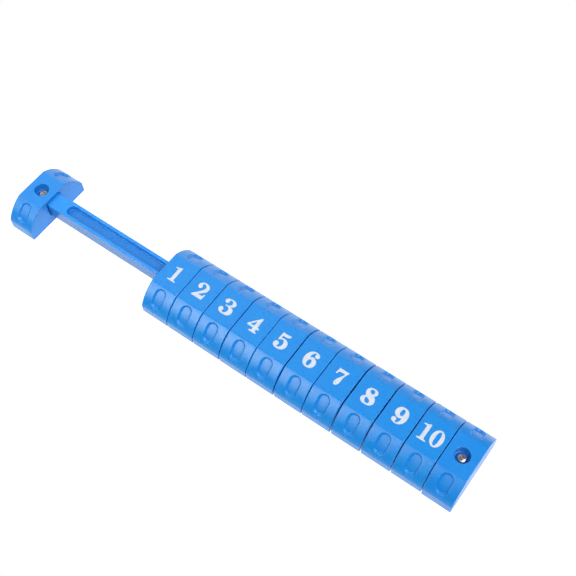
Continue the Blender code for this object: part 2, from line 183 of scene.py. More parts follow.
def outer_body(name, length, z_bottom):
    """Closed D-section block, x centred, with rounded ends and both finger pockets."""
    n_cap, n_side = 15, 25
    half_l = length / 2
    flat = half_l - END_R
    stations = [S0 + (S1 - S0) * i / (n_side - 1) for i in range(n_side)]
    right, first, last = right_half(z_bottom, stations)
    # x stations with how far the section is drawn in at each
    xs = [(half_l, END_R + 0.30), (half_l, END_R)]
    for i in range(1, 5):
        phi = pi / 2 * (1 - i / 5)
        xs.append((flat + END_R * sin(phi), END_R * (1 - cos(phi))))
    j_a = len(xs)
    xs += [(flat - 2 * flat * i / (n_cap - 1), 0.0) for i in range(n_cap)]
    j_b = len(xs) - 1
    xs += [(-x, d) for x, d in reversed(xs[:j_a])]

    bm = bmesh.new()
    grid = {}
    for p, (y, z, vy, vz) in enumerate(right):
        for j, (x, inset) in enumerate(xs):
            if first < p < last and j_a < j < j_b:
                continue
            yy = max(y - vy * inset, 0.0) if p not in (0, len(right) - 1) else 0.0
            grid[p, j] = bm.verts.new((x, yy, z - vz * inset))
    for p in range(len(right) - 1):
        for j in range(len(xs) - 1):
            if first <= p < last and j_a <= j < j_b:
                continue
            bm.faces.new((grid[p, j], grid[p, j + 1], grid[p + 1, j + 1], grid[p + 1, j]))

    # the flank: rings from the rectangle's edge down into the pocket
    edge = ([grid[first, j] for j in range(j_b, j_a - 1, -1)]
            + [grid[p, j_a] for p in range(first + 1, last)]
            + [grid[last, j] for j in range(j_a, j_b + 1)]
            + [grid[p, j_b] for p in range(last - 1, first, -1)])
    edge_xs = ([(xs[j][0], S0) for j in range(j_b, j_a - 1, -1)]
               + [(flat, s) for s in stations[1:-1]]
               + [(xs[j][0], S1) for j in range(j_a, j_b + 1)]
               + [(-flat, s) for s in reversed(stations[1:-1])])
    ring0 = stadium_ring(n_cap, n_side)
    rim, rim_r, foot_r, slope = 0.32, 0.42, 0.45, radians(66)
    profile = []
    for i in range(6):                                   # rounded rim
        a = slope * i / 5
        profile.append((rim - rim_r * sin(a), rim_r - rim_r * cos(a)))
    drop = POCKET_DEPTH - foot_r * (1 - cos(slope)) - profile[-1][1]
    d1 = profile[-1][0] - drop / sin(slope) * cos(slope)
    for i in range(6):                                   # rounded foot of the wall
        a = slope * (1 - i / 5)
        profile.append((d1 - foot_r * (sin(slope) - sin(a)),
                        POCKET_DEPTH - foot_r * (1 - cos(a))))
    d2 = profile[-1][0]
    profile += [(d2 - 0.25, POCKET_DEPTH), (d2 - 0.75, POCKET_DEPTH)]

    rings = [edge]
    for f in (0.3, 0.6, 0.85):
        new = []
        for (ex, es), (x, s, nx, ns) in zip(edge_xs, ring0):
            tx, ts = x + nx * rim, s + ns * rim
            y, z, _, _ = on_flank(es + (ts - es) * f)
            new.append(bm.verts.new((ex + (tx - ex) * f, y, z)))
        rings.append(new)
    for d, depth in profile:
        new = []
        for x, s, nx, ns in ring0:
            y, z, _, _ = on_flank(s + ns * d, depth)
            new.append(bm.verts.new((x + nx * d, y, z)))
        rings.append(new)
    n = len(edge)
    for a, b in zip(rings, rings[1:]):
        for i in range(n):
            k = (i + 1) % n
            bm.faces.new((a[i], b[i], b[k], a[k]))
    # the pocket's floor: rungs between points at equal height
    inner = rings[-1]
    top = inner[:n_cap]
    left = list(reversed(inner[2 * n_cap + n_side - 2:]))
    right_side = inner[n_cap:n_cap + n_side - 2]
    bottom = inner[n_cap + n_side - 2:2 * n_cap + n_side - 2]
    column_l = list(reversed(top[:n_cap // 2 + 1])) + left[::-1][::-1] + bottom[n_cap // 2:][::-1]
    column_r = top[n_cap // 2:] + right_side + bottom[:n_cap // 2 + 1]
    for i in range(len(column_r) - 1):
        quad = [column_l[i], column_r[i], column_r[i + 1], column_l[i + 1]]
        unique = []
        for v in quad:
            if v not in unique:
                unique.append(v)
        bm.faces.new(unique)

    # the other half, then the flat ends
    made = bmesh.ops.duplicate(bm, geom=bm.verts[:] + bm.edges[:] + bm.faces[:])
    twins = [g for g in made["geom"] if isinstance(g, bmesh.types.BMVert)]
    for v in twins:
        v.co.y = -v.co.y
    bmesh.ops.remove_doubles(bm, verts=bm.verts[:], dist=1e-5)
    bmesh.ops.holes_fill(bm, edges=[e for e in bm.edges if e.is_boundary], sides=0)
    bmesh.ops.recalc_face_normals(bm, faces=bm.faces[:])
    return to_mesh(bm, name)


# ------------------------------------------------------------ mesh helpers
tools = bpy.data.collections.new("cutters")
bpy.context.scene.collection.children.link(tools)


def to_mesh(bm, name):
    bmesh.ops.scale(bm, vec=(MM, MM, MM), verts=bm.verts[:])
    mesh = bpy.data.meshes.new(name)
    bm.to_mesh(mesh)
    bm.free()
    return mesh


def rings_mesh(name, rings):
    """Closed mesh through a stack of equal-length rings of (x, y, z)."""
    bm = bmesh.new()
    rows = [[bm.verts.new(p) for p in ring] for ring in rings]
    n = len(rows[0])
    for a, b in zip(rows, rows[1:]):
        for i in range(n):
            bm.faces.new((a[i], a[(i + 1) % n], b[(i + 1) % n], b[i]))
    bm.faces.new(rows[0])
    bm.faces.new(rows[-1])
    bmesh.ops.recalc_face_normals(bm, faces=bm.faces[:])
    return to_mesh(bm, name)


def circle(x, r, z, n=48):
    return [(x + r * cos(2 * pi * i / n), r * sin(2 * pi * i / n), z) for i in range(n)]


def turned(name, x, profile, n=48):
    """A turned tool about a vertical axis at x, from (radius, z) pairs."""
    return rings_mesh(name, [circle(x, r, z, n) for r, z in profile])


def prism_x(name, outline, x0, x1):
    return rings_mesh(name, [[(x0, y, z) for y, z in outline], [(x1, y, z) for y, z in outline]])


def box(name, xs, ys, zs):
    outline = [(ys[0], zs[0]), (ys[1], zs[0]), (ys[1], zs[1]), (ys[0], zs[1])]
    return prism_x(name, outline, *xs)


def rounded_box_outline(half_y, z0, z1, r, steps=4):
    out = []
    for sy, zc, a in ((1, z1 - r, 0), (-1, z1 - r, 90), (-1, z0 + r, 180), (1, z0 + r, 270)):
        for i in range(steps + 1):
            t = radians(a + 90 * i / steps)
            out.append((sy * (half_y - r) + r * cos(t), zc + r * sin(t)))
    return out


def mirrored(mesh, name, axis):
    copy = mesh.copy()
    copy.name = name
    bm = bmesh.new()
    bm.from_mesh(copy)
    scale = [1, 1, 1]
    scale[axis] = -1
    bmesh.ops.scale(bm, vec=scale, verts=bm.verts[:])
    bmesh.ops.reverse_faces(bm, faces=bm.faces[:])
    bm.to_mesh(copy)
    bm.free()
    return copy


def combine(name, mesh, steps):
    scratch = []

    def holder(label, data):
        obj = bpy.data.objects.new(label, data)
        tools.objects.link(obj)
        scratch.append(obj)
        return obj

    obj = holder(name + "_blank", mesh)
    for i, (operation, other) in enumerate(steps):
        mod = obj.modifiers.new("step_%02d" % i, "BOOLEAN")
        mod.operation = operation
        mod.solver = "EXACT"
        mod.object = holder("%s_tool_%02d" % (name, i), other)
    bpy.context.view_layer.update()
    result = bpy.data.meshes.new_from_object(
        obj.evaluated_get(bpy.context.evaluated_depsgraph_get()))
    result.name = name
    for o in scratch:
        bpy.data.objects.remove(o, do_unlink=True)
    bm = bmesh.new()
    bm.from_mesh(result)
    bmesh.ops.remove_doubles(bm, verts=bm.verts[:], dist=2e-6)
    bmesh.ops.dissolve_degenerate(bm, dist=1e-6, edges=bm.edges[:])
    bm.to_mesh(result)
    bm.free()
    result.materials.clear()
    return result


def smooth(mesh, angle=32):
    mesh.shade_smooth()
    mesh.set_sharp_from_angle(angle=radians(angle))


def arc(cy, cz, r, a0, a1, steps):
    return [(cy + r * cos(a0 + (a1 - a0) * i / steps),
             cz + r * sin(a0 + (a1 - a0) * i / steps)) for i in range(steps + 1)]


def inner_section(y_in, z_bottom, steps=14):
    r = FLANK_R - WALL_FLANK
    top = HEIGHT - WALL_TOP
    a0 = atan2(top - CZ, (r ** 2 - (top - CZ) ** 2) ** 0.5)
    y_side = HALF_W - WALL_SIDE
    a1 = atan2((r ** 2 - (y_side - CY) ** 2) ** 0.5, y_side - CY)
    # rounded where the rib meets the roof
    f = 0.6
    root = arc(y_in + f, top - f, f, pi, pi / 2, 5)
    return [(y_in, z_bottom)] + root + arc(CY, CZ, r, a0, a1, steps) + [(y_side, z_bottom)]


def window_tool(name, x_face, x_end, direction):
    """Square window for the rod, with a small lead-in at its face."""
    z0, z1 = ROD_BOTTOM - CLEAR, ROD_TOP + CLEAR
    stack = []
    for dx, grow in ((1.0, 0.22), (0.0, 0.20), (-0.12, 0.07), (-0.30, 0.0)):
        stack.append((x_face + direction * dx, grow))
    stack.append((x_end, 0.0))
    rings = [[(x, y, z) for y, z in rounded_box_outline(WINDOW + g, z0 - g, z1 + g, 0.35 + g)]
             for x, g in stack]
    return rings_mesh(name, rings)


# ------------------------------------------------------------ tiles
hollow_x = (-TILE_L / 2 + WALL_END, TILE_L / 2 - WALL_END)
hollow = prism_x("tile_hollow", inner_section(WINDOW + RIB_T, -2), *hollow_x)
tile_mesh = combine("tile_shell", outer_body("tile_block", TILE_L, TILE_LIFT), [
    ("DIFFERENCE", hollow),
    ("DIFFERENCE", mirrored(hollow, "tile_hollow_left", 1)),
    ("DIFFERENCE", window_tool("tile_window_a", TILE_L / 2, 0.0, 1)),
    ("DIFFERENCE", window_tool("tile_window_b", -TILE_L / 2, 0.5, -1)),
    ("DIFFERENCE", box("tile_middle", hollow_x, (-WINDOW, WINDOW), (-2, ROD_MID))),
])
smooth(tile_mesh)

# ------------------------------------------------------------ brackets
# built for the end bracket, x = 0 at mid length, inner face at -BRACKET_L / 2
half_b = BRACKET_L / 2
hollow_x = (-half_b + WALL_END, half_b - WALL_END)
hollow = prism_x("bracket_hollow", inner_section(WINDOW + RIB_T, -2), *hollow_x)
rim = 0.30
head = [(RECESS_D / 2 + rim * 1.25, HEIGHT + 0.6)]
for i in range(7):
    a = radians(16 + 70 * i / 6)
    head.append((RECESS_D / 2 + rim - rim * sin(a), HEIGHT - rim + rim * cos(a)))
ledge = HEIGHT - RECESS_DEPTH
for i in range(5):
    a = radians(90 * i / 4)
    head.append((RECESS_D / 2 - 0.3 + 0.3 * cos(a), ledge + 0.3 - 0.3 * sin(a)))
bore = SCREW_HOLE_D / 2
head += [(bore + 0.22, ledge), (bore + 0.05, ledge - 0.12), (bore, ledge - 0.3),
         (bore, BOSS_BOTTOM - 0.001), (bore + 0.2, BOSS_BOTTOM - 0.4)]
bracket_mesh = combine("bracket_shell", outer_body("bracket_block", BRACKET_L, 0.0), [
    ("DIFFERENCE", hollow),
    ("DIFFERENCE", mirrored(hollow, "bracket_hollow_left", 1)),
    ("DIFFERENCE", box("bracket_middle", hollow_x, (-WINDOW, WINDOW), (-2, HEIGHT - WALL_TOP))),
    ("DIFFERENCE", window_tool("bracket_window", -half_b, -half_b + WALL_END + 0.05, -1)),
    ("UNION", turned("bracket_boss", 0, [(BOSS_D / 2 - 0.2, BOSS_BOTTOM),
                                         (BOSS_D / 2, BOSS_BOTTOM + 0.2),
                                         (BOSS_D / 2, HEIGHT - 0.4)])),
    ("DIFFERENCE", turned("bracket_screw", 0, head)),
])
smooth(bracket_mesh)
bracket_start_mesh = mirrored(bracket_mesh, "bracket_start_shell", 0)
smooth(bracket_start_mesh)

# ------------------------------------------------------------ rod
rod_half = rod_high.x


def channel_rings(half_length, width):
    steps = 16
    rings = []
    lip, foot = 0.40, 0.45
    levels = [(lip * 1.3, ROD_TOP + 0.8)]
    for i in range(6):
        a = radians(16 + 70 * i / 5)
        levels.append((lip - lip * sin(a), ROD_TOP - lip + lip * cos(a)))
    for i in range(6):
        a = radians(90 * i / 5)
        levels.append((-0.08 - foot + foot * cos(a), ROD_TOP - CHANNEL_D + foot - foot * sin(a)))
    for d, z in levels:
        r = width / 2 + d
        h = half_length - width / 2
        ring = [(h + r * sin(pi * i / steps), r * cos(pi * i / steps), z) for i in range(steps + 1)]
        ring += [(-h - r * sin(pi * i / steps), -r * cos(pi * i / steps), z)
                 for i in range(steps + 1)]
        rings.append(ring)
    return rings


cut_z = (ROD_BOTTOM + TONGUE_T, ROD_TOP + 3)
rod_mesh = combine(
    "rod_bar", prism_x("rod_blank", rounded_box_outline(ROD_W / 2, ROD_BOTTOM, ROD_TOP, 0.6, 6),
                       -rod_half, rod_half), [
        ("DIFFERENCE", box("rod_cut_a", (-rod_half - 5, -INNER - SEAT), (-9, 9), cut_z)),
        ("DIFFERENCE", box("rod_cut_b", (INNER + SEAT, rod_half + 5), (-9, 9), cut_z)),
        ("DIFFERENCE", rings_mesh("rod_channel", channel_rings(INNER - CHANNEL_INSET, CHANNEL_W))),
        ("DIFFERENCE", turned("rod_gate_mark", -69.1, [(0.62, ROD_TOP), (0.55, ROD_TOP - CHANNEL_D),
                                                       (0.38, ROD_TOP - CHANNEL_D - 0.25)], 24)),
        ("DIFFERENCE", turned("rod_hole_a", -INNER - SCREW_X,
                              [(TONGUE_HOLE_D / 2, 20), (TONGUE_HOLE_D / 2, 0)], 32)),
        ("DIFFERENCE", turned("rod_hole_b", INNER + SCREW_X,
                              [(TONGUE_HOLE_D / 2, 20), (TONGUE_HOLE_D / 2, 0)], 32)),
    ])
smooth(rod_mesh)

# ------------------------------------------------------------ retaining screws
def screw_thread(name):
    """Shank with a real helical ridge, tapering to a point; z = 0 under the head."""
    bm = bmesh.new()
    n, pitch = 28, 0.95
    core, crest = 0.88, SCREW_SHANK_D / 2
    steps = 76
    rows = []
    for j in range(steps + 1):
        z = 0.35 - (SCREW_LENGTH + 0.35) * j / steps
        left = z + SCREW_LENGTH
        taper = min(1.0, max(left, 0.0) / 1.6 + 0.04)
        row = []
        for i in range(n):
            phase = (z / pitch + i / n) % 1.0
            ridge = max(0.0, 1.0 - abs(phase - 0.5) / 0.22)
            plain = min(1.0, max(0.0, (-z - 0.25) / 0.5))
            r = (core + (crest - core) * ridge * plain) * taper
            a = 2 * pi * i / n
            row.append(bm.verts.new((r * cos(a), r * sin(a), z)))
        rows.append(row)
    for a, b in zip(rows, rows[1:]):
        for i in range(n):
            bm.faces.new((a[i], b[i], b[(i + 1) % n], a[(i + 1) % n]))
    bm.faces.new(rows[0])
    bm.faces.new(rows[-1])
    bmesh.ops.recalc_face_normals(bm, faces=bm.faces[:])
    return to_mesh(bm, name)


def screw_head(name):
    r, h = SCREW_HEAD_D / 2, SCREW_HEAD_H
    profile = [(0.7, 0.0), (r - 0.15, 0.0), (r - 0.04, 0.05), (r, 0.16), (r, 0.55)]
    dome = [(0.985, 0.80), (0.945, 1.02), (0.88, 1.20), (0.79, 1.34), (0.68, 1.44),
            (0.55, 1.51), (0.40, 1.56), (0.2, 1.59)]
    profile += [(r * f, z * h / 1.6) for f, z in dome]
    return turned(name, 0, profile, 56)


def cross_recess(name):
    """Cross-shaped driver recess, drafted and rounded at its ends."""
    bm_rings = []
    for z, wide, long in ((SCREW_HEAD_H + 0.4, 0.36, 1.42), (SCREW_HEAD_H - 0.05, 0.31, 1.36),
                          (SCREW_HEAD_H - 0.55, 0.22, 1.02), (SCREW_HEAD_H - 0.98, 0.13, 0.50)):
        ring = []
        for q in range(4):
            a = pi / 2 * q
            ux, uy = cos(a), sin(a)
            vx, vy = -uy, ux
            for u, v in ((wide * 1.5, -wide), (long - wide * 0.5, -wide),
                         (long, -wide * 0.45), (long, wide * 0.45),
                         (long - wide * 0.5, wide), (wide * 1.5, wide)):
                ring.append((ux * u + vx * v, uy * u + vy * v, z))
        bm_rings.append(ring)
    return rings_mesh(name, bm_rings)


screw_mesh = combine("retaining_screw", screw_thread("screw_thread"), [
    ("UNION", screw_head("screw_head")),
    ("DIFFERENCE", cross_recess("screw_recess")),
])
turn = bmesh.new()
turn.from_mesh(screw_mesh)
bmesh.ops.rotate(turn, verts=turn.verts[:], cent=(0, 0, 0), matrix=Matrix.Rotation(radians(24), 3, "Z"))
turn.to_mesh(screw_mesh)
turn.free()
smooth(screw_mesh, 34)

# ------------------------------------------------------------ numerals
S = True
SIX_OUT = [(-39, 48, S), (-34, 73, S), (-20, 92, S), (2, 100, S), (20, 97, S), (32, 88, S),
           (33, 77, S), (25, 69, S), (14, 70, S), (7, 78, S), (8, 89, S), (2, 93), (-7, 82, S),
           (-11, 68, S), (-10, 59), (4, 66, S), (20, 62, S), (33, 50, S), (37, 33, S),
           (31, 13, S), (16, 2, S), (0, 0, S), (-20, 5, S), (-34, 22, S)]
SIX_IN = [(0, 49, S), (9, 41, S), (10, 27, S), (6, 14, S), (-1, 11, S), (-8, 16, S),
          (-11, 30, S), (-8, 43, S)]
FIGURES = {
    "1": [[(-25, 0), (25, 0), (27, 4, S), (25, 8), (15, 10, S), (11, 15), (11, 100), (3, 100),
           (-8, 94, S), (-27, 91), (-29, 87, S), (-27, 83), (-11, 84), (-11, 15), (-15, 10, S),
           (-25, 8), (-27, 4, S)]],
    "2": [[(-38, 0), (32, 0), (35, 37), (28, 37), (24, 26, S), (16, 22), (-3, 23), (12, 38, S),
           (27, 52, S), (32, 70, S), (27, 87, S), (12, 97, S), (-6, 100, S), (-24, 95, S),
           (-36, 82, S), (-37, 68, S), (-30, 57, S), (-19, 56, S), (-11, 64, S), (-12, 75, S),
           (-19, 83), (-12, 89, S), (-2, 89, S), (8, 80, S), (9, 68, S), (3, 55, S),
           (-10, 38, S), (-38, 8)]],
    "3": [[(-38, 78, S), (-33, 91, S), (-18, 98, S), (2, 100, S), (21, 95, S), (31, 84, S),
           (31, 72, S), (24, 62, S), (14, 57), (30, 50, S), (38, 33, S), (35, 15, S),
           (20, 3, S), (0, 0, S), (-20, 1, S), (-36, 9, S), (-42, 22, S), (-37, 34, S),
           (-26, 37, S), (-16, 31, S), (-15, 20, S), (-17, 13), (-8, 10, S), (4, 16, S),
           (10, 30, S), (7, 43, S), (-4, 50, S), (-19, 51), (-21, 54, S), (-19, 58), (-3, 60, S),
           (7, 67, S), (9, 78, S), (5, 88, S), (-6, 92, S), (-15, 89), (-12, 79, S),
           (-17, 70, S), (-28, 67, S)]],
    "4": [[(15, 99), (23, 98), (24, 39), (35, 38), (38, 33, S), (35, 27), (24, 27), (24, 13),
           (34, 10), (36, 5, S), (34, 1), (-10, 1), (-13, 5, S), (-10, 10), (2, 13), (2, 27),
           (-36, 27), (-40, 34)],
          [(1, 68), (1, 40), (-21, 40)]],
    "5": [[(-26, 99), (-2, 97), (25, 100), (27, 96), (22, 86, S), (12, 80), (-4, 79), (-16, 80),
           (-17, 65), (0, 69, S), (19, 65, S), (32, 52, S), (36, 36, S), (31, 17, S),
           (17, 4, S), (-3, 0, S), (-24, 3, S), (-37, 15, S), (-37, 29, S), (-28, 38, S),
           (-17, 38, S), (-9, 30, S), (-10, 20, S), (-14, 15), (-5, 11, S), (5, 18, S),
           (10, 32, S), (9, 45, S), (2, 56, S), (-9, 58, S), (-20, 50), (-29, 49)]],
    "6": [SIX_OUT, SIX_IN],
    "7": [[(-34, 60), (-26, 60), (-22, 74, S), (-14, 79), (14, 79), (10, 70, S), (-2, 50, S),
           (-12, 30, S), (-14, 12, S), (-8, 2, S), (3, 2, S), (11, 11, S), (16, 32, S),
           (16, 52, S), (20, 70, S), (32, 98), (10, 97), (-15, 98), (-29, 99)]],
    "8": [[(0, 100, S), (17, 97, S), (28, 86, S), (28, 71, S), (19, 61), (31, 50, S),
           (37, 34, S), (33, 15, S), (19, 3, S), (-1, 0, S), (-22, 3, S), (-36, 14, S),
           (-38, 29, S), (-22, 47), (-31, 60, S), (-33, 76, S), (-26, 91, S), (-13, 98, S)],
          [(-1, 91, S), (8, 86, S), (11, 76, S), (5, 66), (-8, 72, S), (-14, 81, S), (-10, 89, S)],
          [(-11, 39), (3, 33, S), (11, 24, S), (11, 15, S), (3, 10, S), (-7, 14, S),
           (-15, 24, S), (-16, 33, S)]],
    "9": [[(-p[0], 100 - p[1]) + tuple(p[2:]) for p in SIX_OUT],
          [(-p[0], 100 - p[1]) + tuple(p[2:]) for p in SIX_IN]],
    "0": [[(0, 100, S), (22, 88, S), (33, 62, S), (33, 38, S), (22, 12, S), (0, 0, S),
           (-22, 12, S), (-33, 38, S), (-33, 62, S), (-22, 88, S)],
          [(0, 90, S), (9, 78, S), (11, 50, S), (9, 22, S), (0, 10, S), (-9, 22, S),
           (-11, 50, S), (-9, 78, S)]],
}


def numeral_mesh(name, figure, x_units=0.0):
    """A thin stamped figure with softened edges, centred on the origin."""
    unit = NUM_H / 100 * MM
    edge = 0.022 * MM
    curve = bpy.data.curves.new(name + "_outline", "CURVE")
    curve.dimensions = "2D"
    curve.fill_mode = "BOTH"
    curve.resolution_u = 8
    curve.extrude = 0.028 * MM
    curve.bevel_depth = edge
    curve.bevel_resolution = 2
    curve.offset = -edge - 0.035 * MM
    for outline in FIGURES[figure]:
        spline = curve.splines.new("BEZIER")
        spline.bezier_points.add(len(outline) - 1)
        spline.use_cyclic_u = True
        for point, spec in zip(spline.bezier_points, outline):
            point.co = ((spec[0] + x_units) * unit, (spec[1] - 50) * unit, 0)
            kind = "AUTO" if len(spec) == 3 else "VECTOR"
            point.handle_left_type = point.handle_right_type = kind
    guide = bpy.data.objects.new(name + "_guide", curve)
    tools.objects.link(guide)
    bpy.context.view_layer.update()
    mesh = bpy.data.meshes.new_from_object(
        guide.evaluated_get(bpy.context.evaluated_depsgraph_get()))
    bpy.data.objects.remove(guide, do_unlink=True)
    bm = bmesh.new()
    bm.from_mesh(mesh)
    bmesh.ops.remove_doubles(bm, verts=bm.verts[:], dist=5e-7)
    bmesh.ops.recalc_face_normals(bm, faces=bm.faces[:])
    bm.to_mesh(mesh)
    bm.free()
    mesh.name = name
    mesh.materials.clear()
    smooth(mesh, 50)
    return mesh


# ------------------------------------------------------------ materials
def new_material(name):
    mat = bpy.data.materials.new(name)
    mat.use_nodes = True
    tree = mat.node_tree
    bsdf = tree.nodes["Principled BSDF"]
    return mat, tree, bsdf


def node(tree, kind, **values):
    n = tree.nodes.new(kind)
    for key, value in values.items():
        if key in n.inputs:
            n.inputs[key].default_value = value
        else:
            setattr(n, key, value)
    return n


def moulded_plastic(name, colour, deep, roughness=0.25, seed=0.0, channel_shade=None):
    """Glossy injection-moulded plastic: slight flow variation in the colour, a fine
    orange-peel surface, patchy gloss and faint handling scratches. With channel_shade, painted shade
    darkens the colour from a channel's floor down and painted light brightens it near the top."""
    mat, tree, bsdf = new_material(name)
    link = tree.links.new
    coord = node(tree, "ShaderNodeTexCoord")
    place = node(tree, "ShaderNodeMapping")
    place.inputs["Location"].default_value = (seed, seed * 0.37, seed * 0.71)
    link(coord.outputs["Object"], place.inputs["Vector"])
    vec = place.outputs["Vector"]

    # colour: broad flow marks and a much finer pigment mottle
    flow = node(tree, "ShaderNodeTexNoise", Scale=55.0, Detail=3.0, Roughness=0.55)
    flow.inputs["Distortion"].default_value = 0.8
    link(vec, flow.inputs["Vector"])
    pigment = node(tree, "ShaderNodeTexNoise", Scale=900.0, Detail=2.0, Roughness=0.6)
    link(vec, pigment.inputs["Vector"])
    blend = node(tree, "ShaderNodeMix", data_type="FLOAT")
    blend.inputs[0].default_value = 0.3
    link(flow.outputs["Fac"], blend.inputs[2])
    link(pigment.outputs["Fac"], blend.inputs[3])
    ramp = node(tree, "ShaderNodeValToRGB")
    ramp.color_ramp.elements[0].position = 0.30
    ramp.color_ramp.elements[0].color = (*deep, 1)
    ramp.color_ramp.elements[1].position = 0.70
    ramp.color_ramp.elements[1].color = (*colour, 1)
    link(blend.outputs[0], ramp.inputs["Fac"])
    if channel_shade:
        # painted shade and painted light: the base colour is scaled by height, darker from the channel
        # floor down and brighter near the top, standing in for the shade inside the channel and the
        # highlights on its rims
        z_low, z_high, shaded_low_tone, lit_top_tone = channel_shade
        height = node(tree, "ShaderNodeSeparateXYZ")
        link(coord.outputs["Object"], height.inputs["Vector"])
        channel_shade_ramp = node(tree, "ShaderNodeMapRange")
        channel_shade_ramp.inputs["From Min"].default_value = z_low * MM
        channel_shade_ramp.inputs["From Max"].default_value = z_high * MM
        channel_shade_ramp.inputs["To Min"].default_value = shaded_low_tone
        channel_shade_ramp.inputs["To Max"].default_value = lit_top_tone
        link(height.outputs["Z"], channel_shade_ramp.inputs["Value"])
        tone = node(tree, "ShaderNodeVectorMath", operation="SCALE")
        link(ramp.outputs["Color"], tone.inputs[0])
        link(channel_shade_ramp.outputs["Result"], tone.inputs["Scale"])
        link(tone.outputs["Vector"], bsdf.inputs["Base Color"])
    else:
        link(ramp.outputs["Color"], bsdf.inputs["Base Color"])

    # gloss: patches left by handling
    patch = node(tree, "ShaderNodeTexNoise", Scale=120.0, Detail=4.0, Roughness=0.6)
    link(vec, patch.inputs["Vector"])
    gloss = node(tree, "ShaderNodeMapRange")
    gloss.inputs["From Min"].default_value = 0.3
    gloss.inputs["From Max"].default_value = 0.7
    gloss.inputs["To Min"].default_value = roughness - 0.05
    gloss.inputs["To Max"].default_value = roughness + 0.07
    link(patch.outputs["Fac"], gloss.inputs["Value"])
    link(gloss.outputs["Result"], bsdf.inputs["Roughness"])

    # surface: orange peel, with hairline scratches along the sliding direction
    peel = node(tree, "ShaderNodeTexNoise", Scale=700.0, Detail=2.0, Roughness=0.5)
    link(vec, peel.inputs["Vector"])
    stretch = node(tree, "ShaderNodeMapping")
    stretch.inputs["Scale"].default_value = (60.0, 2600.0, 2600.0)
    link(vec, stretch.inputs["Vector"])
    hair = node(tree, "ShaderNodeTexNoise", Scale=1.0, Detail=1.0, Roughness=0.5)
    link(stretch.outputs["Vector"], hair.inputs["Vector"])
    cut = node(tree, "ShaderNodeMapRange")
    cut.inputs["From Min"].default_value = 0.66
    cut.inputs["From Max"].default_value = 0.80
    link(hair.outputs["Fac"], cut.inputs["Value"])
    peel_bump = node(tree, "ShaderNodeBump")
    peel_bump.inputs["Strength"].default_value = 0.07
    peel_bump.inputs["Distance"].default_value = 0.00006
    link(peel.outputs["Fac"], peel_bump.inputs["Height"])
    hair_bump = node(tree, "ShaderNodeBump", invert=True)
    hair_bump.inputs["Strength"].default_value = 0.06
    hair_bump.inputs["Distance"].default_value = 0.00003
    link(cut.outputs["Result"], hair_bump.inputs["Height"])
    link(peel_bump.outputs["Normal"], hair_bump.inputs["Normal"])
    link(hair_bump.outputs["Normal"], bsdf.inputs["Normal"])
    bsdf.inputs["IOR"].default_value = 1.54
    bsdf.inputs["Subsurface Weight"].default_value = 0.22
    bsdf.inputs["Subsurface Radius"].default_value = (0.15, 0.5, 1.0)
    bsdf.inputs["Subsurface Scale"].default_value = 0.0008
    return mat


def stamped_white(name):
    """White stamping foil: nearly even, a trace of the plastic's blue showing through."""
    mat, tree, bsdf = new_material(name)
    link = tree.links.new
    coord = node(tree, "ShaderNodeTexCoord")
    cloud = node(tree, "ShaderNodeTexNoise", Scale=420.0, Detail=4.0, Roughness=0.65)
    link(coord.outputs["Object"], cloud.inputs["Vector"])
    ramp = node(tree, "ShaderNodeValToRGB")
    ramp.color_ramp.elements[0].position = 0.30
    ramp.color_ramp.elements[0].color = (0.45, 0.54, 0.70, 1)
    ramp.color_ramp.elements[1].position = 0.56
    ramp.color_ramp.elements[1].color = (0.57, 0.62, 0.72, 1)
    link(cloud.outputs["Fac"], ramp.inputs["Fac"])
    link(ramp.outputs["Color"], bsdf.inputs["Base Color"])
    bsdf.inputs["Roughness"].default_value = 0.42
    grain = node(tree, "ShaderNodeTexNoise", Scale=1500.0, Detail=2.0)
    link(coord.outputs["Object"], grain.inputs["Vector"])
    bump = node(tree, "ShaderNodeBump")
    bump.inputs["Strength"].default_value = 0.15
    bump.inputs["Distance"].default_value = 0.00003
    link(grain.outputs["Fac"], bump.inputs["Height"])
    link(bump.outputs["Normal"], bsdf.inputs["Normal"])
    return mat


def zinc_steel(name):
    """Bright zinc plating on steel: fine grain, faint turning marks, duller patches."""
    mat, tree, bsdf = new_material(name)
    link = tree.links.new
    coord = node(tree, "ShaderNodeTexCoord")
    cloud = node(tree, "ShaderNodeTexNoise", Scale=900.0, Detail=4.0, Roughness=0.6)
    link(coord.outputs["Object"], cloud.inputs["Vector"])
    ramp = node(tree, "ShaderNodeValToRGB")
    ramp.color_ramp.elements[0].position = 0.35
    ramp.color_ramp.elements[0].color = (0.46, 0.44, 0.45, 1)
    ramp.color_ramp.elements[1].position = 0.65
    ramp.color_ramp.elements[1].color = (0.68, 0.66, 0.67, 1)
    link(cloud.outputs["Fac"], ramp.inputs["Fac"])
    link(ramp.outputs["Color"], bsdf.inputs["Base Color"])
    rough = node(tree, "ShaderNodeMapRange")
    rough.inputs["From Min"].default_value = 0.3
    rough.inputs["From Max"].default_value = 0.7
    rough.inputs["To Min"].default_value = 0.24
    rough.inputs["To Max"].default_value = 0.42
    link(cloud.outputs["Fac"], rough.inputs["Value"])
    link(rough.outputs["Result"], bsdf.inputs["Roughness"])
    rings = node(tree, "ShaderNodeTexWave", wave_type="RINGS", rings_direction="Z")
    rings.inputs["Scale"].default_value = 2600.0
    rings.inputs["Distortion"].default_value = 0.6
    link(coord.outputs["Object"], rings.inputs["Vector"])
    bump = node(tree, "ShaderNodeBump")
    bump.inputs["Strength"].default_value = 0.08
    bump.inputs["Distance"].default_value = 0.00002
    link(rings.outputs["Fac"], bump.inputs["Height"])
    link(bump.outputs["Normal"], bsdf.inputs["Normal"])
    bsdf.inputs["Metallic"].default_value = 1.0
    return mat


